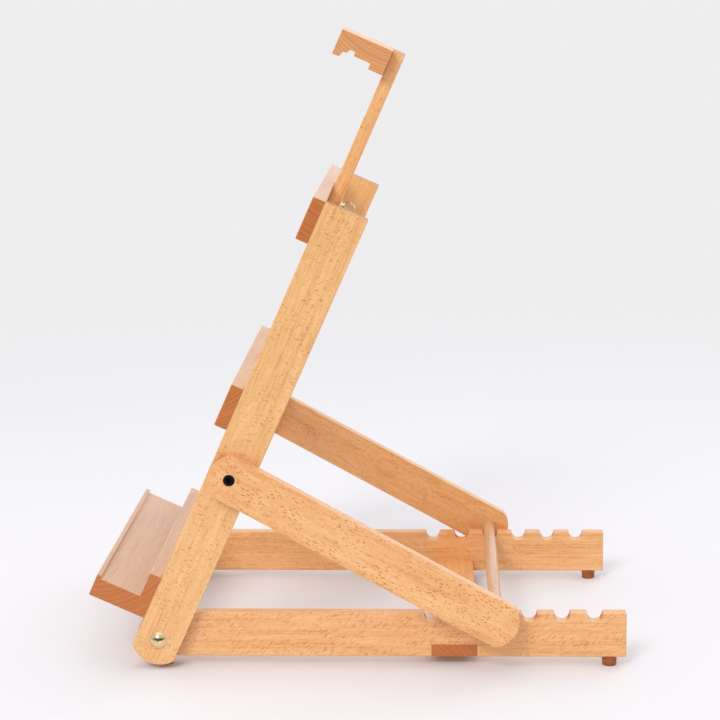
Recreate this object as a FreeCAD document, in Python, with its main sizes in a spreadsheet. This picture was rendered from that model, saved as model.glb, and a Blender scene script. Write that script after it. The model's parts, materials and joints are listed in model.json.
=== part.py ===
import FreeCAD, Part
import math
import os

import Sketcher
from FreeCAD import Placement, Rotation, Vector

# A folding wooden table easel. Lengths are in millimetres and angles in degrees.
# The row frame has +Z up, +X to the right of someone who faces the easel, and the canvas side at -Y.
# Each piece is modelled in the frame of the bar it belongs to: Z runs along the bar from its pivot,
# -Y is the bar's front or top side, and X runs across the easel.

SIZES = {
    "frame_width": 300.0,  # over the outer faces of the two posts
    "lean_back": 24.2,  # posts, from the vertical
    "post_thickness": 12.0,
    "post_width": 40.5,
    "post_length": 427.0,  # pivot to top
    "post_end_reach": 22.5,  # pivot to the tip of the rounded foot of the post
    "post_end_shoulder": 12.4,  # pivot to where the straight edges stop
    "rail_thickness": 12.0,
    "rail_height": 41.0,
    "rail_drop": 18.4,  # pivot to the underside
    "rail_length": 422.0,  # pivot to the rear end
    "notch_count": 6.0,
    "first_notch": 246.7,  # from the pivot
    "notch_pitch": 29.4,
    "notch_room": 1.9,  # notch width past the dowel
    "notch_wall": 0.3,  # straight wall between a notch's round bottom and its lips
    "dowel_notch": 3.0,  # the notch that holds the dowel, counted from the front
    "strip_width": 41.5,
    "strip_thickness": 11.6,
    "strip_start": 246.3,  # pivot to the cross strip's front edge
    "foot_radius": 6.9,
    "foot_height": 8.5,
    "foot_taper": 0.7,
    "front_foot": 4.5,  # pivot to the front feet
    "rear_foot": 14.8,  # rear feet, from the end of the rail
    "arm_thickness": 12.0,
    "arm_width": 41.0,
    "arm_pivot_height": 167.0,  # along the post, from its pivot
    "arm_end_reach": 20.0,
    "arm_end_shoulder": 7.2,
    "dowel_radius": 6.0,
    "dowel_socket": 8.0,  # depth of the blind hole in each arm
    "crossbar_thickness": 11.8,
    "crossbar_height": 40.4,
    "lower_crossbar_top": 244.8,
    "tray_bottom": 14.0,
    "tray_height": 41.6,
    "tray_depth": 54.2,
    "tray_back": 11.2,  # thickness of the wall against the posts
    "tray_floor": 18.1,
    "tray_lip": 4.4,
    "tray_lip_rise": 3.1,  # front lip above the tray's floor
    "mast_width": 40.0,
    "mast_thickness": 12.0,
    "mast_length": 440.0,
    "mast_rise": 137.5,  # top of the mast above the top of the posts
    "slot_room": 0.6,  # slot width past the bolts
    "slot_margin": 20.0,  # mast left below the slot
    "slot_top_margin": 38.0,
    "holder_width": 70.0,
    "holder_depth": 50.4,
    "holder_height": 24.4,
    "holder_foot": 14.4,  # length at full height, next to the mast
    "holder_shelf": 16.8,  # length of the first step
    "holder_tooth": 3.7,
    "holder_nose": 6.7,
    "holder_slope": 1.8,  # how far each sloping face of the teeth leans
    "holder_shelf_rise": 5.7,
    "holder_groove_rise": 9.6,
    "holder_round": 0.6,
    "edge_round": 1.0,
    "bolt_radius": 3.0,
    "bolt_play": 0.08,  # round a bolt that a bar turns on
    "bolt_head_radius": 8.0,
    "bolt_head_height": 4.2,
    "bolt_sink": 0.3,  # mast bolts' heads, below the crossbars' fronts
    "bolt_overhang": 2.5,  # bolt left past a nut
    "nut_width": 10.0,  # across flats
    "nut_height": 6.0,
    "washer_radius": 8.0,
    "washer_thickness": 1.0,
    "swing_gap": 0.2,  # between a washer and the wood that turns against it
    "slide_gap": 0.2,  # between the mast and what it slides on
    "cap_head_radius": 5.0,
    "cap_head_height": 6.0,
    "cap_head_room": 0.3,
    "cap_socket": 5.0,  # across the flats of the key hole
    "cap_socket_depth": 3.5,
    "arm_web": 5.0,  # wood left under the cap screw's head
    "insert_radius": 4.5,
    "insert_length": 10.0,
    "wing_hub_radius": 6.5,
    "wing_hub_tip": 4.8,
    "wing_hub_height": 8.0,
    "wing_ear_radius": 5.0,
    "wing_web_start": 2.0,
    "wing_span": 28.0,
    "wing_thickness": 2.2,
    "wing_height": 13.0,
    "wing_turn": 50.0,
    "screw_radius": 1.8,
    "screw_head_radius": 3.8,
    "screw_head_height": 2.4,
    "screw_length": 32.0,
    "screw_tip": 5.0,
    "screw_tip_radius": 0.3,
    "screw_inset": 10.0,  # crossbar and holder screws, from the edge of the wood
    "tray_screw_inset": 6.5,
    "short_screw_length": 24.0,
    "nail_radius": 1.2,
    "nail_length": 16.0,
    "nail_head_radius": 2.6,
    "nail_head_height": 1.2,
    "nail_recess": 2.5,
    "fastener_gap": 0.03,
    "seat_gap": 0.3,  # between the dowel and the bottom of its notch
    "seat_angle": 67.4,  # how far ahead of straight down the dowel rests against its notch
    "notch_round": 1.0,
}

# Sizes that follow from the ones above.
DERIVED = {
    "pivot_height": "Sizes.foot_height + Sizes.rail_drop",
    "rail_rise": "Sizes.rail_height - Sizes.rail_drop",
    "half_post": "Sizes.post_width / 2",
    "half_frame": "Sizes.frame_width / 2",
    "post_inner": "Derived.half_frame - Sizes.post_thickness",
    "pivot_gap": "Sizes.washer_thickness + Sizes.swing_gap",
    "rail_outer": "Derived.post_inner - Derived.pivot_gap",
    "rail_inner": "Derived.rail_outer - Sizes.rail_thickness",
    "arm_inner": "Derived.half_frame + Derived.pivot_gap",
    "arm_outer": "Derived.arm_inner + Sizes.arm_thickness",
    "crossbar_front": "Derived.half_post + Sizes.crossbar_thickness",
    "mast_front": "Derived.half_post - Sizes.slide_gap",
    "mast_back": "Derived.mast_front - Sizes.mast_thickness",
    "mast_top": "Sizes.post_length + Sizes.mast_rise",
    "mast_bottom": "Derived.mast_top - Sizes.mast_length",
    "bolt_recess": "Sizes.bolt_head_height + Sizes.bolt_sink",
    "dome_radius": (
        "(Sizes.bolt_head_radius ^ 2 + Sizes.bolt_head_height ^ 2) / (2 * Sizes.bolt_head_height)"
    ),
    "mast_nut_start": "Sizes.slide_gap + Sizes.washer_thickness - Derived.mast_back",
    "upper_bolt": "Sizes.post_length - Sizes.crossbar_height / 2",
    "lower_bolt": "Sizes.lower_crossbar_top - Sizes.crossbar_height / 2",
    "holder_bottom": "Derived.mast_top - Sizes.holder_height",
    "notch_width": "2 * Sizes.dowel_radius + Sizes.notch_room",
    "notch_depth": "Derived.notch_width / 2 + Sizes.notch_wall + Sizes.notch_round",
    "slot_width": "2 * Sizes.bolt_radius + Sizes.slot_room",
    "seat_slack": "Sizes.notch_room / 2 - Sizes.seat_gap",
    "dowel_along": (
        "Sizes.first_notch + (Sizes.dowel_notch - 1) * Sizes.notch_pitch"
        " - Derived.seat_slack * sin(Sizes.seat_angle)"
    ),
    "notch_centre_rise": "Derived.rail_rise - Derived.notch_depth + Derived.notch_width / 2",
    "dowel_rise": "Derived.notch_centre_rise - Derived.seat_slack * cos(Sizes.seat_angle)",
    "arm_pivot_along": "Sizes.arm_pivot_height * sin(Sizes.lean_back)",
    "arm_pivot_rise": "Sizes.arm_pivot_height * cos(Sizes.lean_back)",
    "arm_run": "Derived.dowel_along - Derived.arm_pivot_along",
    "arm_fall": "Derived.arm_pivot_rise - Derived.dowel_rise",
    "arm_drop": "atan2(Derived.arm_fall; Derived.arm_run) / 1 deg",
    "arm_length": "sqrt(Derived.arm_run ^ 2 + Derived.arm_fall ^ 2)",
    "front_reach": (
        "(Derived.half_post + Sizes.tray_depth - Sizes.edge_round) * cos(Sizes.lean_back)"
        " - (Sizes.tray_bottom + Sizes.edge_round) * sin(Sizes.lean_back) + Sizes.edge_round"
    ),
    "pivot_place": "(Derived.front_reach - Sizes.rail_length) / 2",
    "arm_pivot_place": "Derived.pivot_place + Derived.arm_pivot_along",
    "arm_pivot_level": "Derived.pivot_height + Derived.arm_pivot_rise",
}

document = FreeCAD.newDocument("table_easel")
sheet = document.addObject("Spreadsheet::Sheet", "Sizes")
for row, (alias, value) in enumerate(SIZES.items(), start=1):
    sheet.set(f"A{row}", alias)
    sheet.set(f"B{row}", str(value))
    sheet.setAlias(f"B{row}", alias)
document.recompute()

derived = document.addObject("App::VarSet", "Derived")
for alias, expression in DERIVED.items():
    derived.addProperty("App::PropertyFloat", alias, "Derived")
    derived.setExpression(alias, expression)
    document.recompute()

# Depth, height and turn about X of each frame that pieces are modelled in.
FRAMES = {
    "rails": ("Derived.pivot_place", "Derived.pivot_height", "-90"),
    "upright": ("Derived.pivot_place", "Derived.pivot_height", "-Sizes.lean_back"),
    "arms": ("Derived.arm_pivot_place", "Derived.arm_pivot_level", "-90 - Derived.arm_drop"),
}

TURN_Z_TO = {
    "x": Rotation(Vector(0, 1, 0), 90),
    "y": Rotation(Vector(1, 0, 0), -90),
    "-y": Rotation(Vector(1, 0, 0), 90),
    "z": Rotation(),
}

BOLT_BORE = "Sizes.bolt_radius + Sizes.fastener_gap"
TURNING_BORE = "Sizes.bolt_radius + Sizes.bolt_play"

nodes = []


def size(expression):
    """The value of an expression in the sheet's sizes."""
    return float(sheet.evalExpression(expression))


def node(piece, label, frame):
    """Names a finished piece and puts it in its frame."""
    depth, height, turn = FRAMES[frame]
    piece.Placement = Placement(Vector(0, 0, 0), Rotation(Vector(1, 0, 0), -1))
    piece.setExpression("Placement.Base.y", depth)
    piece.setExpression("Placement.Base.z", height)
    piece.setExpression("Placement.Rotation.Angle", turn)
    piece.Label = label
    nodes.append(piece)
    return piece


def mirror_node(source, label):
    """A finished piece's twin on the easel's left side."""
    piece = mirrored(label, source)
    piece.Label = label
    nodes.append(piece)


def put(piece, across="0", depth="0", along="0"):
    """Ties a primitive's position to three expressions."""
    for axis, expression in (("x", across), ("y", depth), ("z", along)):
        piece.setExpression(f"Placement.Base.{axis}", expression)
    return piece


def cylinder(name, radius, length, towards, **place):
    piece = document.addObject("Part::Cylinder", name)
    piece.Placement = Placement(Vector(0, 0, 0), TURN_Z_TO[towards])
    piece.setExpression("Radius", radius)
    piece.setExpression("Height", length)
    return put(piece, **place)


def cone(name, start_radius, end_radius, length, towards, **place):
    piece = document.addObject("Part::Cone", name)
    piece.Placement = Placement(Vector(0, 0, 0), TURN_Z_TO[towards])
    piece.setExpression("Radius1", start_radius)
    piece.setExpression("Radius2", end_radius)
    piece.setExpression("Height", length)
    return put(piece, **place)


def prism(name, across_flats, length, towards, **place):
    """A hexagonal bar, by the distance across its flats."""
    piece = document.addObject("Part::Prism", name)
    piece.Polygon = 6
    piece.Placement = Placement(Vector(0, 0, 0), TURN_Z_TO[towards])
    piece.setExpression("Circumradius", f"({across_flats}) / sqrt(3)")
    piece.setExpression("Height", length)
    return put(piece, **place)


def block(name, wide, deep, tall, **place):
    piece = document.addObject("Part::Box", name)
    piece.setExpression("Length", wide)
    piece.setExpression("Width", deep)
    piece.setExpression("Height", tall)
    return put(piece, **place)


def fuse(name, pieces):
    piece = document.addObject("Part::MultiFuse", name)
    piece.Shapes = pieces
    return piece


def group(name, pieces):
    piece = document.addObject("Part::Compound", name)
    piece.Links = pieces
    return piece


def cut(name, base, tools):
    piece = document.addObject("Part::Cut", name)
    piece.Base = base
    piece.Tool = tools[0] if len(tools) == 1 else group(name + "_tools", tools)
    return piece


def mirrored(name, source):
    """The same piece on the easel's other side."""
    piece = document.addObject("Part::Mirroring", name)
    piece.Source = source
    piece.Normal = Vector(1, 0, 0)
    return piece


def both_sides(name, source):
    return group(name, [source, mirrored(name + "_left", source)])


def sketch_on(body, name, offset):
    """A sketch seen from the easel's right side, at a place across the easel."""
    sketch = body.newObject("Sketcher::SketchObject", name)
    planes = body.Origin.OriginFeatures
    sketch.AttachmentSupport = [(next(item for item in planes if item.Role == "YZ_Plane"), "")]
    sketch.MapMode = "FlatFace"
    sketch.setExpression("AttachmentOffset.Base.z", offset)
    return sketch


def tie(sketch, kind, geometry, end, expression):
    """Sets one coordinate of a sketch point, from the sketch's origin."""
    constraint = Sketcher.Constraint(kind, -1, 1, geometry, end, size(expression))
    index = sketch.addConstraint(constraint)
    sketch.setExpression(f"Constraints[{index}]", expression)


def arc_between(start, end, centre):
    circle = Part.Circle(centre, Vector(0, 0, 1), (start - centre).Length)
    first = math.atan2(start.y - centre.y, start.x - centre.x)
    last = math.atan2(end.y - centre.y, end.x - centre.x)
    return Part.ArcOfCircle(circle, first, last)


def outline(sketch, corners, arcs):
    """A closed outline through corners, counter-clockwise, each a pair of expressions.

    arcs gives, for each edge that is an arc, which coordinate of its centre is set and to what.
    """
    points = [Vector(size(depth), size(along), 0) for depth, along in corners]
    edges = []
    for index, start in enumerate(points):
        end = points[(index + 1) % len(points)]
        if index in arcs:
            kind, expression = arcs[index]
            centre = (start + end) / 2
            if kind == "DistanceX":
                centre.x = size(expression)
            else:
                centre.y = size(expression)
            edges.append(sketch.addGeometry(arc_between(start, end, centre)))
        else:
            edges.append(sketch.addGeometry(Part.LineSegment(start, end)))
    for index, edge in enumerate(edges):
        following = edges[(index + 1) % len(edges)]
        sketch.addConstraint(Sketcher.Constraint("Coincident", edge, 2, following, 1))
    for index, (depth, along) in enumerate(corners):
        tie(sketch, "DistanceX", edges[index], 1, depth)
        tie(sketch, "DistanceY", edges[index], 1, along)
    for index, (kind, expression) in arcs.items():
        tie(sketch, kind, edges[index], 3, expression)


def profile(name, corners, inner, outer, arcs=None, edge_round=None):
    """A solid with this outline, seen from the side, between two places across the easel."""
    body = document.addObject("PartDesign::Body", name)
    sketch = sketch_on(body, name + "_outline", inner)
    outline(sketch, corners, arcs or {})
    pad = body.newObject("PartDesign::Pad", name + "_pad")
    pad.Profile = sketch
    pad.setExpression("Length", f"({outer}) - ({inner})")
    document.recompute()
    if edge_round:
        soft = body.newObject("PartDesign::Fillet", name + "_soft")
        soft.Base = (pad, [""])
        soft.UseAllEdges = True
        soft.setExpression("Radius", edge_round)
        document.recompute()
    return body


def board(name, corners, inner, outer, arcs=None):
    """A profile whose edges are eased, as sanding leaves them."""
    return profile(name, corners, inner, outer, arcs, "Sizes.edge_round")


def rectangle(front, back, low, high):
    return [(front, low), (back, low), (back, high), (front, high)]


def end_centre(half, reach, shoulder):
    """From a bar's pivot to the centre of the arc through its two shoulders and its tip."""
    return f"(({half}) ^ 2 + ({shoulder}) ^ 2 - ({reach}) ^ 2) / (2 * ({shoulder} - ({reach})))"


# Fasteners


def wood_screw(name, length, towards, across, depth, along, gap="0"):
    """A countersunk screw whose head's top is at its place. A gap makes it the hole it needs."""
    sign = "-" if towards == "-y" else ""
    head_end = f"{depth} + {sign}Sizes.screw_head_height"
    tip_start = f"{depth} + {sign}({length} - Sizes.screw_tip)"
    straight = f"{length} - Sizes.screw_head_height - Sizes.screw_tip"
    head_radius = f"Sizes.screw_head_radius + {gap}"
    radius = f"Sizes.screw_radius + {gap}"
    tip_radius = f"Sizes.screw_tip_radius + {gap}"
    place = {"across": across, "along": along}
    head = cone(
        name + "_head", head_radius, radius, "Sizes.screw_head_height", towards, depth=depth, **place
    )
    shank = cylinder(name + "_shank", radius, straight, towards, depth=head_end, **place)
    tip = cone(
        name + "_tip", radius, tip_radius, f"Sizes.screw_tip + {gap}", towards, depth=tip_start, **place
    )
    return fuse(name, [head, shank, tip])


def screw_set(name, length, towards, depth, places):
    """Screws that start from one face and, for the wood, the holes that they need."""
    screws = []
    holes = []
    for number, (across, along) in enumerate(places, start=1):
        place = {"across": across, "depth": depth, "along": along}
        screws.append(wood_screw(f"{name}_{number}", length, towards, **place))
        hole_name = f"{name}_hole_{number}"
        holes.append(wood_screw(hole_name, length, towards, gap="Sizes.fastener_gap", **place))
    return group(name, screws), group(name + "_holes", holes)


def each_side(across, alongs):
    """The places at a distance each side of the middle, for each place along a bar."""
    return [(f"{sign}({across})", along) for along in alongs for sign in ("", "-")]


def ring(name, outer, inner, length, towards, **place):
    """A washer or a sleeve."""
    disc = cylinder(name + "_disc", outer, length, towards, **place)
    hole = cylinder(name + "_bore", inner, length, towards, **place)
    return cut(name, disc, [hole])


def washer(name, towards, **place):
    return ring(
        name, "Sizes.washer_radius", BOLT_BORE, "Sizes.washer_thickness", towards, **place
    )


def hex_nut(name, towards, **place):
    bar = prism(name + "_bar", "Sizes.nut_width", "Sizes.nut_height", towards, **place)
    bore = cylinder(name + "_bore", BOLT_BORE, "Sizes.nut_height", towards, **place)
    return cut(name, bar, [bore])


def dome(name, towards, **place):
    """A carriage bolt's low domed head, cut from a ball whose centre is at its place."""
    head = document.addObject("Part::Sphere", name)
    head.Placement = Placement(Vector(0, 0, 0), TURN_Z_TO[towards])
    head.setExpression("Radius", "Derived.dome_radius")
    head.setExpression("Angle1", "asin(1 - Sizes.bolt_head_height / Derived.dome_radius)")
    return put(head, **place)


# Base: two notched rails on feet, joined by a strip let into their undersides

RAIL_MIDDLE = "Derived.rail_outer - Sizes.rail_thickness / 2"


def notch(number):
    """The room of one notch: half-round bottom, short straight walls and lips that slope outwards."""
    along = f"Sizes.first_notch + {number} * Sizes.notch_pitch"
    half = "Derived.notch_width / 2"
    lip = "Sizes.notch_round"
    wall_low = f"Derived.notch_depth - Derived.rail_rise - {half}"
    wall_high = f"{lip} - Derived.rail_rise"
    clear = f"-{lip} - Derived.rail_rise"
    corners = [
        (wall_low, f"{along} - {half}"),
        (wall_low, f"{along} + {half}"),
        (wall_high, f"{along} + {half}"),
        (clear, f"{along} + {half} + 2 * {lip}"),
        (clear, f"{along} - {half} - 2 * {lip}"),
        (wall_high, f"{along} - {half}"),
    ]
    inner = "Derived.rail_inner - 1"
    outer = "Derived.rail_outer + 1"
    return profile(f"notch_{number + 1}", corners, inner, outer, {0: ("DistanceX", wall_low)})


def nail(name, along, gap):
    """A foot's nail, driven up from a recess in the foot."""
    start = "Sizes.rail_drop + Sizes.foot_height - Sizes.nail_recess"
    place = {"across": RAIL_MIDDLE, "depth": start, "along": along}
    head_radius = f"Sizes.nail_head_radius + {gap}"
    head = cylinder(name + "_head", head_radius, "Sizes.nail_head_height", "-y", **place)
    radius = f"Sizes.nail_radius + {gap}"
    shank = cylinder(name + "_shank", radius, f"Sizes.nail_length + {gap}", "-y", **place)
    return fuse(name, [head, shank])


def foot(name, along, nail_hole):
    place = {"across": RAIL_MIDDLE, "along": along}
    wide = "Sizes.foot_radius"
    narrow = "Sizes.foot_radius - Sizes.foot_taper"
    blank = cone(
        name + "_blank", wide, narrow, "Sizes.foot_height", "y", depth="Sizes.rail_drop", **place
    )
    recess = cylinder(
        name + "_recess",
        "Sizes.nail_head_radius + Sizes.fastener_gap",
        "Sizes.nail_recess",
        "-y",
        depth="Sizes.rail_drop + Sizes.foot_height",
        **place,
    )
    return cut(name, blank, [recess, nail_hole])


def build_base():
    feet = {"front": "Sizes.front_foot", "rear": "Sizes.rail_length - Sizes.rear_foot"}
    nails = []
    nail_holes = []
    for end, along in feet.items():
        nails.append(both_sides(f"{end}_nails", nail(f"{end}_nail", along, "0")))
        nail_holes.append(nail(f"{end}_nail_hole", along, "Sizes.fastener_gap"))
        right = node(foot(f"{end}_foot", along, nail_holes[-1]), f"{end}_right_foot", "rails")
        mirror_node(right, f"{end}_left_foot")
    node(group("foot_nails", nails), "foot_nails", "rails")

    steps = [f"Sizes.strip_start + Sizes.strip_width * {share}" for share in ("0.25", "0.75")]
    screws, screw_holes = screw_set(
        "cross_strip_screws",
        "Sizes.short_screw_length",
        "-y",
        "Sizes.rail_drop",
        each_side(RAIL_MIDDLE, steps),
    )
    node(screws, "cross_strip_screws", "rails")

    strip_corners = rectangle(
        "Sizes.rail_drop - Sizes.strip_thickness",
        "Sizes.rail_drop",
        "Sizes.strip_start",
        "Sizes.strip_start + Sizes.strip_width",
    )
    strip = board("strip_blank", strip_corners, "-Derived.rail_outer", "Derived.rail_outer")
    node(cut("cross_strip", strip, [screw_holes]), "cross_strip", "rails")

    rail_corners = rectangle(
        "-Derived.rail_rise", "Sizes.rail_drop", "0", "Sizes.rail_length"
    )
    inner = "Derived.rail_inner"
    outer = "Derived.rail_outer"
    blank = board("rail_blank", rail_corners, inner, outer, {0: ("DistanceY", "0")})
    strip_room = profile("strip_room", strip_corners, f"{inner} - 1", f"{outer} + 1")
    pivot_hole = cylinder("rail_pivot_hole", TURNING_BORE, "Sizes.rail_thickness", "x", across=inner)
    notches = [notch(number) for number in range(int(SIZES["notch_count"]))]
    tools = [*notches, strip_room, pivot_hole, *nail_holes, screw_holes]
    right = node(cut("right_rail", blank, tools), "right_rail", "rails")
    mirror_node(right, "left_rail")


# Upright: two posts joined by two crossbars and the canvas tray

POST_MIDDLE = "Derived.half_frame - Sizes.post_thickness / 2"


def crossbar(name, top, screw_holes, bolt_along):
    """A rail across the posts' fronts, with a stepped hole for a mast bolt."""
    low = f"{top} - Sizes.crossbar_height"
    corners = rectangle("-Derived.crossbar_front", "-Derived.half_post", low, top)
    blank = board(name + "_blank", corners, "-Derived.half_frame", "Derived.half_frame")
    start = {"depth": "-Derived.crossbar_front", "along": bolt_along}
    head_room = cylinder(
        name + "_head_room",
        "Sizes.bolt_head_radius + Sizes.fastener_gap",
        "Derived.bolt_recess",
        "y",
        **start,
    )
    hole = cylinder(name + "_bolt_hole", BOLT_BORE, "Sizes.crossbar_thickness", "y", **start)
    return cut(name, blank, [screw_holes, head_room, hole])


def tray(screw_holes):
    front = "-Derived.half_post - Sizes.tray_depth"
    back = "-Derived.half_post"
    bottom = "Sizes.tray_bottom"
    floor = f"{bottom} + Sizes.tray_floor"
    lip = f"{floor} + Sizes.tray_lip_rise"
    top = f"{bottom} + Sizes.tray_height"
    corners = [
        (front, bottom),
        (back, bottom),
        (back, top),
        (f"{back} - Sizes.tray_back", top),
        (f"{back} - Sizes.tray_back", floor),
        (f"{front} + Sizes.tray_lip", floor),
        (f"{front} + Sizes.tray_lip", lip),
        (front, lip),
    ]
    blank = board("tray_blank", corners, "-Derived.half_frame", "Derived.half_frame")
    return cut("tray", blank, [screw_holes])


def post(screw_holes):
    centre = end_centre("Derived.half_post", "Sizes.post_end_reach", "Sizes.post_end_shoulder")
    shoulder = "-Sizes.post_end_shoulder"
    corners = rectangle("-Derived.half_post", "Derived.half_post", shoulder, "Sizes.post_length")
    inner = "Derived.post_inner"
    arcs = {0: ("DistanceY", f"-({centre})")}
    blank = board("post_blank", corners, inner, "Derived.half_frame", arcs)
    pivot_hole = cylinder("post_pivot_hole", BOLT_BORE, "Sizes.post_thickness", "x", across=inner)
    insert_hole = cylinder(
        "insert_hole",
        "Sizes.insert_radius",
        "Sizes.insert_length",
        "x",
        across="Derived.half_frame - Sizes.insert_length",
        along="Sizes.arm_pivot_height",
    )
    return cut("right_post", blank, [*screw_holes, pivot_hole, insert_hole])


def build_upright():
    inset = "Sizes.screw_inset"
    tall = "Sizes.crossbar_height"
    bars = {
        "upper_crossbar": ("Sizes.post_length", "Derived.upper_bolt"),
        "lower_crossbar": ("Sizes.lower_crossbar_top", "Derived.lower_bolt"),
    }
    holes = []
    for name, (top, bolt_along) in bars.items():
        rows = [f"{top} - {inset}", f"{top} - {tall} + {inset}"]
        screws, screw_holes = screw_set(
            name + "_screws",
            "Sizes.screw_length",
            "y",
            "-Derived.crossbar_front",
            each_side(POST_MIDDLE, rows),
        )
        node(screws, name + "_screws", "upright")
        node(crossbar(name, top, screw_holes, bolt_along), name, "upright")
        holes.append(screw_holes)

    tray_rows = [
        "Sizes.tray_bottom + Sizes.tray_floor + Sizes.tray_screw_inset",
        "Sizes.tray_bottom + Sizes.tray_height - Sizes.tray_screw_inset",
    ]
    screws, screw_holes = screw_set(
        "tray_screws",
        "Sizes.screw_length",
        "y",
        "-Derived.half_post - Sizes.tray_back",
        each_side(POST_MIDDLE, tray_rows),
    )
    node(screws, "tray_screws", "upright")
    node(tray(screw_holes), "tray", "upright")
    holes.append(screw_holes)

    right = node(post(holes), "right_post", "upright")
    mirror_node(right, "left_post")


# Pivots: a carriage bolt at the foot of each post, and a cap screw where each arm turns


def build_post_pivots():
    reach = (
        "Sizes.post_thickness + Derived.pivot_gap + Sizes.rail_thickness + Sizes.swing_gap"
        " + Sizes.washer_thickness + Sizes.nut_height + Sizes.bolt_overhang"
    )
    centre = "Derived.half_frame + Sizes.bolt_head_height - Derived.dome_radius"
    head = dome("pivot_bolt_head", "x", across=centre)
    shank = cylinder(
        "pivot_bolt_shank",
        "Sizes.bolt_radius",
        f"{reach} + Sizes.bolt_head_height / 2",
        "x",
        across=f"Derived.half_frame - ({reach})",
    )
    bolt = fuse("pivot_bolt", [head, shank])
    spacer = washer("post_spacer", "x", across="Derived.post_inner - Sizes.washer_thickness")
    washer_place = "Derived.rail_inner - Sizes.swing_gap - Sizes.washer_thickness"
    inner_washer = washer("rail_washer", "x", across=washer_place)
    nut = hex_nut("pivot_nut", "x", across=f"{washer_place} - Sizes.nut_height")
    pieces = {
        "post_pivot_bolts": bolt,
        "post_pivot_spacers": spacer,
        "post_pivot_washers": inner_washer,
        "post_pivot_nuts": nut,
    }
    for label, piece in pieces.items():
        node(both_sides(label, piece), label, "upright")


def build_arm_pivots():
    along = "Sizes.arm_pivot_height"
    seat = "Derived.arm_inner + Sizes.arm_web + Sizes.swing_gap"
    insert_start = "Derived.half_frame - Sizes.insert_length"
    head = cylinder(
        "cap_head", "Sizes.cap_head_radius", "Sizes.cap_head_height", "x", across=seat, along=along
    )
    shank = cylinder(
        "cap_shank",
        "Sizes.bolt_radius",
        f"{seat} - ({insert_start})",
        "x",
        across=insert_start,
        along=along,
    )
    socket = prism(
        "cap_socket",
        "Sizes.cap_socket",
        "Sizes.cap_socket_depth",
        "x",
        across=f"{seat} + Sizes.cap_head_height - Sizes.cap_socket_depth",
        along=along,
    )
    screw = cut("arm_pivot_screw", fuse("arm_pivot_screw_blank", [head, shank]), [socket])
    insert = ring(
        "threaded_insert",
        "Sizes.insert_radius",
        BOLT_BORE,
        "Sizes.insert_length",
        "x",
        across=insert_start,
        along=along,
    )
    spacer = washer("arm_washer", "x", across="Derived.half_frame", along=along)
    pieces = {
        "arm_pivot_screws": screw,
        "arm_pivot_inserts": insert,
        "arm_pivot_washers": spacer,
    }
    for label, piece in pieces.items():
        node(both_sides(label, piece), label, "upright")


# Support: two arms and the dowel that drops into the notches


def build_support():
    inner = "Derived.arm_inner"
    half = "Sizes.arm_width / 2"
    shoulder = "Sizes.arm_end_shoulder"
    far = "Derived.arm_length"
    centre = end_centre(half, "Sizes.arm_end_reach", shoulder)
    corners = rectangle(f"-{half}", half, f"-{shoulder}", f"{far} + {shoulder}")
    arcs = {0: ("DistanceY", f"-({centre})"), 2: ("DistanceY", f"{far} + {centre}")}
    blank = board("arm_blank", corners, inner, "Derived.arm_outer", arcs)
    hole = cylinder("arm_pivot_hole", TURNING_BORE, "Sizes.arm_thickness", "x", across=inner)
    head_room = cylinder(
        "cap_head_room",
        "Sizes.cap_head_radius + Sizes.cap_head_room",
        "Sizes.arm_thickness - Sizes.arm_web",
        "x",
        across=f"{inner} + Sizes.arm_web",
    )
    socket = cylinder(
        "dowel_socket", "Sizes.dowel_radius", "Sizes.dowel_socket", "x", across=inner, along=far
    )
    right = node(cut("right_arm", blank, [hole, head_room, socket]), "right_arm", "arms")
    mirror_node(right, "left_arm")
    reach = f"{inner} + Sizes.dowel_socket"
    dowel = cylinder(
        "dowel_rod", "Sizes.dowel_radius", f"2 * ({reach})", "x", across=f"-({reach})", along=far
    )
    node(group("support_dowel", [dowel]), "support_dowel", "arms")


# Mast: a slotted bar that slides behind the crossbars and carries the top holder


def slot_room():
    """Straight middle and round ends of the slot, right through the mast."""
    radius = "Derived.slot_width / 2"
    low = f"Derived.mast_bottom + Sizes.slot_margin + {radius}"
    high = f"Derived.mast_top - Sizes.slot_top_margin - {radius}"
    deep = "Sizes.mast_thickness"
    start = "-Derived.mast_front"
    ends = [
        cylinder(f"slot_{name}", radius, deep, "y", depth=start, along=along)
        for name, along in (("low", low), ("high", high))
    ]
    middle = block(
        "slot_middle",
        "Derived.slot_width",
        deep,
        f"{high} - ({low})",
        across=f"-{radius}",
        depth=start,
        along=low,
    )
    return fuse("slot_room", [*ends, middle])


def top_holder(screw_holes):
    """Seen from the side: a foot at the mast, a shelf, a groove for the canvas edge and a nose."""
    back = "-Derived.mast_front"
    front = f"{back} - Sizes.holder_depth"
    low = "Derived.holder_bottom"
    shelf = f"{low} + Sizes.holder_shelf_rise"
    groove = f"{low} + Sizes.holder_groove_rise"
    tooth_front = f"{front} + Sizes.holder_nose + Sizes.holder_slope"
    tooth_back = f"{tooth_front} + Sizes.holder_tooth"
    groove_end = f"{back} - Sizes.holder_foot - Sizes.holder_shelf"
    corners = [
        (front, low),
        (f"{front} + Sizes.holder_nose", low),
        (tooth_front, shelf),
        (tooth_back, shelf),
        (f"{tooth_back} + Sizes.holder_slope", groove),
        (groove_end, groove),
        (groove_end, shelf),
        (f"{back} - Sizes.holder_foot", shelf),
        (f"{back} - Sizes.holder_foot", low),
        (back, low),
        (back, "Derived.mast_top"),
        (front, "Derived.mast_top"),
    ]
    half = "Sizes.holder_width / 2"
    blank = profile("holder_blank", corners, f"-{half}", half, None, "Sizes.holder_round")
    return cut("top_holder", blank, [screw_holes])


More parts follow.
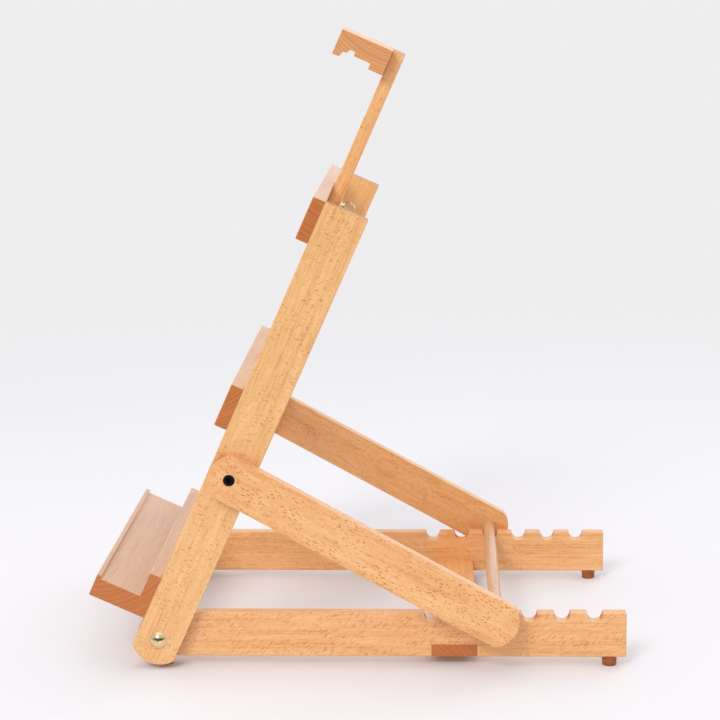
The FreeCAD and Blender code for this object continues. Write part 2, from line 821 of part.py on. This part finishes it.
def build_mast():
    screws, screw_holes = screw_set(
        "holder_screws",
        "Sizes.screw_length",
        "-y",
        "-Derived.mast_back",
        each_side("Sizes.mast_width / 4", ["Derived.mast_top - Sizes.screw_inset"]),
    )
    node(screws, "holder_screws", "upright")
    corners = rectangle(
        "-Derived.mast_front", "-Derived.mast_back", "Derived.mast_bottom", "Derived.mast_top"
    )
    half = "Sizes.mast_width / 2"
    blank = board("mast_blank", corners, f"-{half}", half)
    node(cut("mast", blank, [slot_room(), screw_holes]), "mast", "upright")
    node(top_holder(screw_holes), "top_holder", "upright")


def mast_bolt(name, along, stack):
    """A bolt sunk in a crossbar's front, through the mast's slot, and the washer behind the mast."""
    seat = "Derived.bolt_recess - Derived.crossbar_front"
    centre = f"{seat} - Sizes.bolt_head_height + Derived.dome_radius"
    head = dome(name + "_head", "-y", depth=centre, along=along)
    shank_start = f"{seat} - Sizes.bolt_head_height / 2"
    reach = f"Derived.mast_nut_start + {stack} + Sizes.bolt_overhang - ({shank_start})"
    place = {"depth": shank_start, "along": along}
    shank = cylinder(name + "_shank", "Sizes.bolt_radius", reach, "y", **place)
    node(fuse(name, [head, shank]), name, "upright")
    start = "Derived.mast_nut_start - Sizes.washer_thickness"
    node(washer(name + "_washer", "y", depth=start, along=along), name + "_washer", "upright")


def wing_nut():
    """A tapered hub with two rounded wings, about its own bolt hole."""
    hub = cone(
        "wing_hub", "Sizes.wing_hub_radius", "Sizes.wing_hub_tip", "Sizes.wing_hub_height", "y"
    )
    ear = "Sizes.wing_ear_radius"
    thick = "Sizes.wing_thickness"
    centre = f"Sizes.wing_span / 2 - {ear}"
    web = block(
        "wing_web",
        f"2 * ({centre})",
        f"Sizes.wing_height - {ear} - Sizes.wing_web_start",
        thick,
        across=f"-({centre})",
        depth="Sizes.wing_web_start",
        along=f"-{thick} / 2",
    )
    ears = [
        cylinder(
            f"wing_ear_{number}",
            ear,
            thick,
            "z",
            across=f"{sign}({centre})",
            depth=f"Sizes.wing_height - {ear}",
            along=f"-{thick} / 2",
        )
        for number, sign in enumerate(("", "-"), start=1)
    ]
    bore = cylinder("wing_bore", BOLT_BORE, "Sizes.wing_height", "y")
    nut = cut("wing_nut_body", fuse("wing_nut_blank", [hub, web, *ears]), [bore])
    nut.Placement = Placement(Vector(0, 0, 0), Rotation(Vector(0, 1, 0), -1))
    nut.setExpression("Placement.Rotation.Angle", "-Sizes.wing_turn")
    return put(nut, depth="Derived.mast_nut_start + Sizes.fastener_gap", along="Derived.upper_bolt")


def build_mast_fixings():
    mast_bolt("clamp_bolt", "Derived.upper_bolt", "Sizes.wing_hub_height")
    node(group("wing_nut", [wing_nut()]), "wing_nut", "upright")
    mast_bolt("guide_bolt", "Derived.lower_bolt", "Sizes.nut_height")
    start = {"depth": "Derived.mast_nut_start", "along": "Derived.lower_bolt"}
    node(hex_nut("guide_nut", "y", **start), "guide_nut", "upright")


def failures():
    """Objects that did not build, and nodes with no sound solid."""
    problems = [
        item.Name
        for item in document.Objects
        if any(word in ("Invalid", "Error") for word in item.State)
    ]
    for piece in nodes:
        shape = piece.Shape
        if shape.isNull() or not shape.isValid() or not shape.Solids:
            problems.append(piece.Label)
    return problems


build_base()
build_upright()
build_post_pivots()
build_arm_pivots()
build_support()
build_mast()
build_mast_fixings()
document.recompute()

bad = failures()
if bad:
    raise SystemExit("not sound: " + ", ".join(bad))

os.makedirs("parts", exist_ok=True)
for piece in nodes:
    piece.Shape.exportStep(f"parts/{piece.Label}.step")
print(len(nodes), "nodes")
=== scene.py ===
# Looks for a wooden table easel: oiled beech, brass, black and zinc-plated steel, and brown rubber feet.
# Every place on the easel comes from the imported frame. Lengths are metres, but wood is measured in
# millimetres.
import itertools
import json
import math

import bpy
from mathutils import Matrix, Vector


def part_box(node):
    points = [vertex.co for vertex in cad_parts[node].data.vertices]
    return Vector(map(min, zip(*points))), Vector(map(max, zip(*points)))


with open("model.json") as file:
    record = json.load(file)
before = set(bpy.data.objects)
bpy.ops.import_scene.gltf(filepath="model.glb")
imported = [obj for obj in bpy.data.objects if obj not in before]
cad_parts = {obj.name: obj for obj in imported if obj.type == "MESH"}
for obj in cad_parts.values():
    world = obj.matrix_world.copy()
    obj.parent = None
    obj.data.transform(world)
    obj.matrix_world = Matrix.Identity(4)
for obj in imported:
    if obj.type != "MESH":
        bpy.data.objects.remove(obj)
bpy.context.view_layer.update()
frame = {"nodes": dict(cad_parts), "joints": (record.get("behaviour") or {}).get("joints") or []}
NODES = frame["nodes"]
JOINTS = {joint["name"]: joint for joint in frame["joints"]}

MM = 0.001
ACROSS_EASEL = Vector((1, 0, 0))
TO_REAR = Vector((0, 1, 0))
UP = Vector((0, 0, 1))


def middle(name):
    """The middle of a CAD node's box."""
    low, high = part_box(name)
    return (low + high) / 2


ALONG_POST = Vector(JOINTS["mast_slide"]["axis"]).normalized()
FRONT_TO_BACK = ALONG_POST.cross(ACROSS_EASEL).normalized()
POST_PIVOT = Vector(JOINTS["upright_tilt"]["pos_m"])
ARM_PIVOT = Vector(JOINTS["support_swing"]["pos_m"])
ALONG_ARM = (middle("support_dowel") - ARM_PIVOT).normalized()


# ---------------------------------------------------------------- node trees

class Graph:
    """Makes and joins the nodes of one node tree. A value is a number, a tuple or another node's output."""

    def __init__(self, tree):
        self.tree = tree

    def node(self, kind, **settings):
        made = self.tree.nodes.new("ShaderNode" + kind)
        for name, value in settings.items():
            setattr(made, name, value)
        return made

    def feed(self, socket, value):
        if isinstance(value, bpy.types.NodeSocket):
            self.tree.links.new(value, socket)
        else:
            socket.default_value = value

    def math(self, operation, first, second=0.0, clamp=False):
        made = self.node("Math", operation=operation, use_clamp=clamp)
        self.feed(made.inputs[0], first)
        self.feed(made.inputs[1], second)
        return made.outputs[0]

    def plus(self, first, second, clamp=False):
        return self.math("ADD", first, second, clamp)

    def minus(self, first, second):
        return self.math("SUBTRACT", first, second)

    def times(self, first, second):
        return self.math("MULTIPLY", first, second)

    def over(self, first, second):
        return self.math("DIVIDE", first, second)

    def vector(self, operation, first, second=(0, 0, 0)):
        made = self.node("VectorMath", operation=operation)
        self.feed(made.inputs[0], first)
        self.feed(made.inputs[1], second)
        return made.outputs["Value" if operation in ("DOT_PRODUCT", "LENGTH") else "Vector"]

    def parts(self, vector):
        made = self.node("SeparateXYZ")
        self.feed(made.inputs[0], vector)
        return made.outputs[0], made.outputs[1], made.outputs[2]

    def joined(self, x, y, z):
        made = self.node("CombineXYZ")
        for socket, value in zip(made.inputs, (x, y, z)):
            self.feed(socket, value)
        return made.outputs[0]

    def noise(self, place, detail=1.0, roughness=0.5, scale=1.0):
        made = self.node("TexNoise")
        self.feed(made.inputs["Vector"], place)
        made.inputs["Scale"].default_value = scale
        made.inputs["Detail"].default_value = detail
        made.inputs["Roughness"].default_value = roughness
        return made.outputs[0]

    def scatter(self, place):
        """Distance to the nearest of many scattered points, about one unit apart."""
        made = self.node("TexVoronoi", voronoi_dimensions="3D", feature="F1")
        self.feed(made.inputs["Vector"], place)
        made.inputs["Scale"].default_value = 1.0
        return made.outputs["Distance"]

    def spread(self, value, low, high, to_low=0.0, to_high=1.0):
        """value taken smoothly from the range low to high into another range."""
        made = self.node("MapRange", interpolation_type="SMOOTHSTEP")
        for name, number in (("Value", value), ("From Min", low), ("From Max", high),
                             ("To Min", to_low), ("To Max", to_high)):
            self.feed(made.inputs[name], number)
        return made.outputs[0]

    def blend(self, share, first, second, kind="MIX"):
        made = self.node("Mix", data_type="RGBA", blend_type=kind)
        self.feed(made.inputs["Factor"], share)
        self.feed(made.inputs[6], first)
        self.feed(made.inputs[7], second)
        return made.outputs[2]

    def bump(self, height, strength, depth):
        made = self.node("Bump")
        made.inputs["Strength"].default_value = strength
        made.inputs["Distance"].default_value = depth
        self.feed(made.inputs["Height"], height)
        return made.outputs[0]

    def edges(self, reach):
        """1 along rounded edges and 0 on the flats."""
        rounded = self.node("Bevel", samples=6)
        rounded.inputs["Radius"].default_value = reach
        true = self.node("NewGeometry").outputs["Normal"]
        return self.spread(self.vector("DOT_PRODUCT", rounded.outputs[0], true), 0.985, 0.80)


def new_material(name):
    made = bpy.data.materials.new(name)
    made.use_nodes = True
    graph = Graph(made.node_tree)
    return made, graph, made.node_tree.nodes["Principled BSDF"]


def dress(name, look):
    """Gives a CAD node one material."""
    piece = NODES[name]
    if not piece.material_slots:
        piece.data.materials.append(look)
    for slot in piece.material_slots:
        slot.material = look


# ---------------------------------------------------------------- beech

WOOD_INPUTS = (
    ("Place", "NodeSocketVector"),
    ("Facing", "NodeSocketVector"),
    ("Pith", "NodeSocketVector"),
    ("Fleck size", "NodeSocketVector"),
    ("Slant", "NodeSocketFloat"),
    ("Flecks", "NodeSocketFloat"),
    ("Pale", "NodeSocketColor"),
    ("Deep", "NodeSocketColor"),
    ("End", "NodeSocketColor"),
)
WOOD_OUTPUTS = (
    ("Colour", "NodeSocketColor"),
    ("Roughness", "NodeSocketFloat"),
    ("Normal", "NodeSocketVector"),
)
PITH_WANDER = 14.0
RING_WIDTH = 3.4
RINGS_UNEVEN = 3.0
FLECK_BROWN = (0.50, 0.140, 0.016, 1)
# Pale colour for the beech's edges: partly sanded wear, partly a painted highlight along the rounded edges.
EDGE_WEAR_AND_HIGHLIGHT = (0.96, 0.72, 0.45, 1)
END_SHADE = (0.72, 0.60, 0.46, 1)
WOOD_ROUGHNESS = 0.34
GRAIN_DEPTH = 0.12 * MM
# How far in from an edge the pale wear and painted highlight reach.
EDGE_WEAR_AND_HIGHLIGHT_REACH = 1.3 * MM


def beech_group():
    """Solid beech, in the board's own millimetres: x across its face, y through it and z along the grain.
    Pith is where the middle of the tree lies, seen from the board's middle, and then the board's seed."""
    tree = bpy.data.node_groups.new("beech", "ShaderNodeTree")
    for name, kind in WOOD_INPUTS:
        tree.interface.new_socket(name, in_out="INPUT", socket_type=kind)
    for name, kind in WOOD_OUTPUTS:
        tree.interface.new_socket(name, in_out="OUTPUT", socket_type=kind)
    g = Graph(tree)
    given = tree.nodes.new("NodeGroupInput").outputs
    result = tree.nodes.new("NodeGroupOutput").inputs

    # Rings and rays stand round the pith, which wanders a little along the board.
    x, y, z = g.parts(given["Place"])
    pith_x, pith_y, seed = g.parts(given["Pith"])
    drift = g.noise(g.joined(seed, g.times(x, 0.012), g.times(z, 0.011)), 2.0)
    from_pith_x = g.minus(x, pith_x)
    from_pith_y = g.plus(g.minus(y, pith_y), g.times(g.minus(drift, 0.5), PITH_WANDER))
    radius = g.vector("LENGTH", g.joined(from_pith_x, from_pith_y, 0.0))
    turn = g.math("ARCTAN2", from_pith_y, from_pith_x)
    around = g.times(turn, g.vector("LENGTH", g.joined(pith_x, pith_y, 0.0)))

    def grain(per_around, per_radius, per_length, detail, roughness):
        """Noise with so many waves to a millimetre: round the pith, out from it and along the board."""
        round_pith = g.plus(g.times(around, per_around), seed)
        place = g.joined(round_pith, g.times(radius, per_radius), g.times(z, per_length))
        return g.noise(place, detail, roughness)

    # Annual rings: a thin late line closes each one.
    uneven = g.noise(g.joined(g.times(radius, 0.12), seed, g.times(z, 0.004)), 2.0)
    count = g.plus(g.over(radius, RING_WIDTH), g.times(uneven, RINGS_UNEVEN))
    within = g.math("FRACT", count)
    late = g.times(g.spread(within, 0.25, 0.90), g.spread(within, 1.0, 0.93))

    # Fibres: fine streaks along the grain, with broader soft bands beside them.
    fine = grain(1.4, 1.2, 0.045, 3.0, 0.62)
    broad = grain(0.16, 0.20, 0.010, 2.0, 0.5)

    # Rays: thin sheets that run out from the pith. A cut through them shows dashes along the grain on
    # one face, and short bars across it on the other. They crowd together in some places.
    size_around, size_out, size_along = g.parts(given["Fleck size"])
    slanted = g.plus(z, g.times(radius, given["Slant"]))
    ray_around = g.plus(g.over(around, size_around), seed)
    ray_place = g.joined(ray_around, g.over(radius, size_out), g.over(slanted, size_along))
    ray = g.spread(g.scatter(ray_place), 0.36, 0.18)
    crowd_out = g.plus(g.times(radius, 0.07), seed)
    crowd_place = g.joined(g.times(around, 0.06), crowd_out, g.times(z, 0.028))
    crowd = g.spread(g.noise(crowd_place), 0.38, 0.60, 0.40, 1.0)
    fleck = g.times(g.times(ray, crowd), given["Flecks"])

    # Side faces: streaks and bands from pale to deep, then faint rings and the flecks.
    streaks = g.plus(g.times(g.spread(fine, 0.34, 0.68), 0.52), g.times(broad, 0.90))
    faint_rings = g.times(late, g.spread(broad, 0.35, 0.65, 0.05, 0.26))
    tone = g.plus(g.minus(streaks, 0.38), faint_rings, clamp=True)
    side = g.blend(tone, given["Pale"], given["Deep"])
    side = g.blend(fleck, side, FLECK_BROWN)

    # End grain: deeper, with plain rings and open pores.
    end_dark = g.blend(1.0, given["End"], END_SHADE, "MULTIPLY")
    end_tone = g.plus(g.times(late, 0.62), g.times(ray, 0.18), clamp=True)
    pores = g.times(g.spread(fine, 0.50, 0.68), 0.35)
    end = g.blend(end_tone, given["End"], end_dark)
    end = g.blend(pores, end, end_dark)
    face_along = g.math("ABSOLUTE", g.parts(given["Facing"])[2])
    is_end = g.spread(face_along, 0.55, 0.92)
    colour = g.blend(is_end, side, end)

    # Edges are paler, partly from sanded wear and partly from a painted highlight along the rounded edges,
    # and they lose some of their shine.
    pale_edge = g.times(g.edges(EDGE_WEAR_AND_HIGHLIGHT_REACH), g.spread(broad, 0.30, 0.65, 0.30, 0.60))
    g.feed(result["Colour"], g.blend(g.times(pale_edge, 0.55), colour, EDGE_WEAR_AND_HIGHLIGHT))

    # Fibres, end grain and worn edges are duller, and the rays are glossier.
    dull = g.plus(g.times(fine, 0.16), g.times(is_end, 0.16))
    dull = g.plus(g.minus(dull, g.times(ray, 0.05)), g.times(pale_edge, 0.10))
    g.feed(result["Roughness"], g.plus(dull, WOOD_ROUGHNESS))

    # Fibres stand up. The rays sink a little, and in the end grain so do the rings' late lines.
    height = g.plus(g.times(fine, 0.6), g.times(ray, -0.06))
    height = g.minus(height, g.times(g.times(late, is_end), 0.5))
    g.feed(result["Normal"], g.bump(height, 0.22, GRAIN_DEPTH))
    return tree


BEECH = beech_group()
BOARD_NUMBERS = itertools.count(1)
SEED_STEP = 7.31
OIL_COAT = 0.55
OIL_ROUGHNESS = 0.24

PALE = (0.88, 0.530, 0.230, 1)
DEEP = (0.71, 0.325, 0.090, 1)
END = (0.55, 0.165, 0.024, 1)
HOLDER_END = (0.74, 0.34, 0.125, 1)
PINK_PALE = (0.70, 0.425, 0.250, 1)
ORANGE = {"pale": (0.90, 0.510, 0.220, 1), "deep": (0.71, 0.290, 0.075, 1)}
PINK = {"pale": PINK_PALE, "deep": (0.58, 0.300, 0.145, 1)}

# Where the pith lies, for each way of cutting a board from the tree.
QUARTER = (-75.0, 12.0)
HOLDER_QUARTER = (-80.0, 14.0)
FLAT = (0.0, -80.0)
BETWEEN = (-48.0, -46.0)
DOWEL_CUT = (-30.0, -30.0)

# How far apart the flecks lie: round the pith, out from it and along the board.
BARS = (2.6, 6.6, 1.9)
DASHES = (1.45, 4.2, 5.2)
SLANTS = (2.4, 5.6, 1.6)


def beech(name, along, through, pith, fleck_size, slant=0.0, flecks=0.8, pale=PALE, deep=DEEP, end=END):
    """One board's beech. along is its grain and through is its thickness. pith is where the tree's middle
    lies from the board's middle, in millimetres across the board and through it."""
    look, g, surface = new_material("beech_" + name)
    through = (through - along * through.dot(along)).normalized()
    across = through.cross(along)
    turned = Matrix((across, through, along)).transposed().to_euler()
    seen = g.node("TexCoord").outputs
    place = g.node("Mapping", vector_type="TEXTURE")
    g.feed(place.inputs["Vector"], seen["Object"])
    place.inputs["Location"].default_value = middle(name)
    place.inputs["Rotation"].default_value = turned
    place.inputs["Scale"].default_value = (MM, MM, MM)
    facing = g.node("Mapping", vector_type="TEXTURE")
    g.feed(facing.inputs["Vector"], seen["Normal"])
    facing.inputs["Rotation"].default_value = turned
    wood = g.node("Group", node_tree=BEECH)
    for socket, value in (
        ("Place", place.outputs[0]),
        ("Facing", facing.outputs[0]),
        ("Pith", (pith[0], pith[1], SEED_STEP * next(BOARD_NUMBERS))),
        ("Fleck size", fleck_size),
        ("Slant", slant),
        ("Flecks", flecks),
        ("Pale", pale),
        ("Deep", deep),
        ("End", end),
    ):
        g.feed(wood.inputs[socket], value)
    g.feed(surface.inputs["Base Color"], wood.outputs["Colour"])
    g.feed(surface.inputs["Roughness"], wood.outputs["Roughness"])
    g.feed(surface.inputs["Normal"], wood.outputs["Normal"])
    surface.inputs["Coat Weight"].default_value = OIL_COAT
    surface.inputs["Coat Roughness"].default_value = OIL_ROUGHNESS
    dress(name, look)


# The right side's boards are the more plainly marked, and the two rails' flecks slant opposite ways.
for side, slant, marked in (("right", -1.1, 1.0), ("left", 1.1, 0.55)):
    beech(side + "_post", ALONG_POST, ACROSS_EASEL, QUARTER, BARS, flecks=0.55 * marked)
    beech(side + "_rail", TO_REAR, ACROSS_EASEL, QUARTER, SLANTS, slant, 0.9 * marked, **ORANGE)
    beech(side + "_arm", ALONG_ARM, ACROSS_EASEL, FLAT, DASHES, flecks=0.95 * marked, **ORANGE)
beech("upper_crossbar", ACROSS_EASEL, FRONT_TO_BACK, QUARTER, DASHES, flecks=0.25, pale=PINK_PALE)
beech("lower_crossbar", ACROSS_EASEL, FRONT_TO_BACK, BETWEEN, DASHES, flecks=0.25, pale=PINK_PALE)
beech("tray", ACROSS_EASEL, FRONT_TO_BACK, BETWEEN, DASHES, flecks=0.15, **PINK)
beech("top_holder", ACROSS_EASEL, FRONT_TO_BACK, HOLDER_QUARTER, DASHES, flecks=0.4, end=HOLDER_END)
beech("cross_strip", ACROSS_EASEL, UP, BETWEEN, DASHES, **ORANGE)
beech("mast", ALONG_POST, FRONT_TO_BACK, FLAT, DASHES, flecks=0.45, **ORANGE)
beech("support_dowel", ACROSS_EASEL, UP, DOWEL_CUT, DASHES, flecks=0.3, **PINK)


# ---------------------------------------------------------------- metal and rubber

METAL_EDGE = 0.4 * MM
SCRATCH_DEPTH = 0.02 * MM


def metal(name, colour, dark, roughness, grain, metallic=1.0, specular=0.5):
    """Plated or polished metal with faint tarnish, hairline scratches and edges made paler by wear.
    grain is how finely the hairlines vary along each axis, in waves to a metre."""
    look, g, surface = new_material(name)
    place = g.node("TexCoord").outputs["Object"]
    cloud = g.noise(place, 3.0, 0.6, 210.0)
    hairline = g.noise(g.vector("MULTIPLY", place, grain), 2.0, 0.6)
    tarnish = g.spread(cloud, 0.38, 0.72)
    shade = g.blend(g.times(tarnish, 0.55), colour, dark)
    bright = tuple(min(1.0, 1.25 * part) for part in colour[:3]) + (1,)
    pale_edge = g.times(g.edges(METAL_EDGE), 0.5)
    g.feed(surface.inputs["Base Color"], g.blend(pale_edge, shade, bright))
    dull = g.plus(g.times(tarnish, 0.14), g.times(hairline, 0.08))
    g.feed(surface.inputs["Roughness"], g.plus(dull, roughness))
    g.feed(surface.inputs["Normal"], g.bump(hairline, 0.05, SCRATCH_DEPTH))
    surface.inputs["Metallic"].default_value = metallic
    surface.inputs["Specular IOR Level"].default_value = specular
    return look


BRASS = metal("brass_polished", colour=(0.88, 0.70, 0.40, 1), dark=(0.70, 0.54, 0.27, 1),
              roughness=0.06, grain=(900.0, 900.0, 2600.0))
STEEL_BLACK = metal("steel_black_oxide", colour=(0.010, 0.010, 0.011, 1), dark=(0.004, 0.004, 0.004, 1),
                    roughness=0.42, grain=(1200.0, 1200.0, 1200.0), metallic=0.3, specular=0.12)
STEEL_ZINC = metal("steel_zinc_plated", colour=(0.62, 0.63, 0.64, 1), dark=(0.42, 0.43, 0.45, 1),
                   roughness=0.22, grain=(1500.0, 700.0, 1500.0))

RUBBER_PALE = (0.36, 0.105, 0.026, 1)
RUBBER_DEEP = (0.27, 0.072, 0.018, 1)
RUBBER_SCUFF = (0.52, 0.24, 0.10, 1)
RUBBER_EDGE = 0.7 * MM
GRIT_DEPTH = 0.08 * MM


def rubber():
    """Dull brown rubber with a gritty skin, uneven in colour and scuffed paler along its edges."""
    look, g, surface = new_material("rubber_brown")
    place = g.node("TexCoord").outputs["Object"]
    grit = g.noise(place, 4.0, 0.65, 900.0)
    cloud = g.noise(place, 2.0, 0.5, 160.0)
    base = g.blend(g.spread(cloud, 0.35, 0.65), RUBBER_PALE, RUBBER_DEEP)
    scuff = g.times(g.edges(RUBBER_EDGE), g.spread(grit, 0.40, 0.62))
    g.feed(surface.inputs["Base Color"], g.blend(g.times(scuff, 0.5), base, RUBBER_SCUFF))
    g.feed(surface.inputs["Roughness"], g.spread(grit, 0.25, 0.75, 0.42, 0.66))
    g.feed(surface.inputs["Normal"], g.bump(grit, 0.30, GRIT_DEPTH))
    return look


for look, names in (
    (BRASS, ("post_pivot_bolts", "post_pivot_spacers", "post_pivot_washers", "post_pivot_nuts",
             "arm_pivot_inserts", "arm_pivot_washers", "clamp_bolt", "clamp_bolt_washer", "wing_nut",
             "guide_bolt", "guide_bolt_washer", "guide_nut")),
    (STEEL_BLACK, ("arm_pivot_screws",)),
    (STEEL_ZINC, ("cross_strip_screws", "foot_nails", "upper_crossbar_screws", "lower_crossbar_screws",
                  "tray_screws", "holder_screws")),
    (rubber(), ("front_right_foot", "front_left_foot", "rear_right_foot", "rear_left_foot")),
):
    for name in names:
        dress(name, look)


# ---------------------------------------------------------------- floor, light and camera

FLOOR_RADIUS = 6.0
FLOOR_CORNERS = 96
FLOOR_COLOURS = ((0.80, 0.80, 0.83, 1), (0.85, 0.85, 0.88, 1))
FLOOR_FADES_FROM = 0.35
FLOOR_GONE_AT = 1.9


def floor():
    """A wide, plain, pale disc that the easel stands on, fading away into the studio's pale distance."""
    turns = [2 * math.pi * n / FLOOR_CORNERS for n in range(FLOOR_CORNERS)]
    ring = [(FLOOR_RADIUS * math.cos(turn), FLOOR_RADIUS * math.sin(turn), 0.0) for turn in turns]
    mesh = bpy.data.meshes.new("floor")
    mesh.from_pydata(ring, [], [tuple(range(FLOOR_CORNERS))])
    sheet = bpy.data.objects.new("floor", mesh)
    bpy.context.scene.collection.objects.link(sheet)
    look, g, surface = new_material("floor_pale")
    place = g.node("TexCoord").outputs["Object"]
    cloud = g.noise(place, 2.0, 0.5, 1.3)
    g.feed(surface.inputs["Base Color"], g.blend(cloud, *FLOOR_COLOURS))
    surface.inputs["Roughness"].default_value = 0.62
    surface.inputs["Specular IOR Level"].default_value = 0.25
    away = g.vector("LENGTH", place)
    g.feed(surface.inputs["Alpha"], g.spread(away, FLOOR_FADES_FROM, FLOOR_GONE_AT, 1.0, 0.0))
    mesh.materials.append(look)


def softbox(name, place, aim, width, watts):
    """A square lamp that faces its aim."""
    lamp = bpy.data.lights.new(name, "AREA")
    lamp.shape = "SQUARE"
    lamp.size = width
    lamp.energy = watts
    holder = bpy.data.objects.new(name, lamp)
    holder.location = place
    holder.rotation_euler = (Vector(aim) - Vector(place)).to_track_quat("-Z", "Y").to_euler()
    bpy.context.scene.collection.objects.link(holder)


SKY_TINT = (1.0, 0.985, 1.0, 1)
SKY_LEVEL = 0.74
MORE_ON_THE_LEFT = 0.30
LESS_ON_THE_RIGHT = 0.72
BACKDROP_LEVEL = 0.86


def sky():
    """Pale all round, and brightest low on the easel's left. Reflections see a dim, unlit room low on its
    right, where the camera stands, and the camera itself sees one plain backdrop."""
    world = bpy.data.worlds.new("studio")
    bpy.context.scene.world = world
    world.use_nodes = True
    g = Graph(world.node_tree)
    shade = world.node_tree.nodes["Background"]
    x, y, z = g.parts(g.node("TexCoord").outputs["Generated"])
    low = g.spread(z, 0.70, 0.10)
    left = g.times(g.spread(x, -0.10, -0.75), low)
    right = g.times(g.spread(x, 0.15, 0.85), low)
    rays = g.node("LightPath").outputs
    level = g.plus(g.times(left, MORE_ON_THE_LEFT), SKY_LEVEL)
    level = g.minus(level, g.times(g.times(right, rays["Is Glossy Ray"]), LESS_ON_THE_RIGHT))
    to_backdrop = g.times(rays["Is Camera Ray"], g.minus(BACKDROP_LEVEL, level))
    g.feed(shade.inputs["Color"], SKY_TINT)
    g.feed(shade.inputs["Strength"], g.plus(level, to_backdrop))


CAMERA_FROM_POST_PIVOT = Vector((1.8458, 0.2582, 0.5902))
CAMERA_SWING = math.radians(2.45)
CAMERA_DIP = math.radians(8.98)
CAMERA_ROLL = math.radians(-0.61)
LENS_LENGTH = 98.35
SENSOR_WIDTH = 36.0
LENS_SHIFT = -0.10


def camera():
    """Almost square to the easel's right side, from a little above, with a long lens in millimetres."""
    level_share = math.cos(CAMERA_DIP)
    sight = Vector((-math.cos(CAMERA_SWING) * level_share, -math.sin(CAMERA_SWING) * level_share,
                    -math.sin(CAMERA_DIP)))
    level = sight.cross(UP).normalized()
    right = level * math.cos(CAMERA_ROLL) + level.cross(sight) * math.sin(CAMERA_ROLL)
    lens = bpy.data.cameras.new("camera")
    lens.lens = LENS_LENGTH
    lens.sensor_width = SENSOR_WIDTH
    lens.shift_y = LENS_SHIFT
    holder = bpy.data.objects.new("camera", lens)
    holder.location = POST_PIVOT + CAMERA_FROM_POST_PIVOT
    holder.rotation_euler = Matrix((right, right.cross(sight), -sight)).transposed().to_euler()
    bpy.context.scene.collection.objects.link(holder)
    bpy.context.scene.camera = holder


floor()
sky()
softbox("overhead", place=(0.1, -0.2, 2.6), aim=(0, 0, 0.2), width=2.6, watts=13.0)
softbox("camera_side", place=(3.5, -1.4, 3.1), aim=(0, 0, 0.25), width=1.5, watts=84.0)
softbox("rear_fill", place=(-2.2, 1.8, 1.9), aim=(0, 0, 0.25), width=1.8, watts=14.0)
camera()
bpy.context.scene.view_settings.view_transform = "Standard"
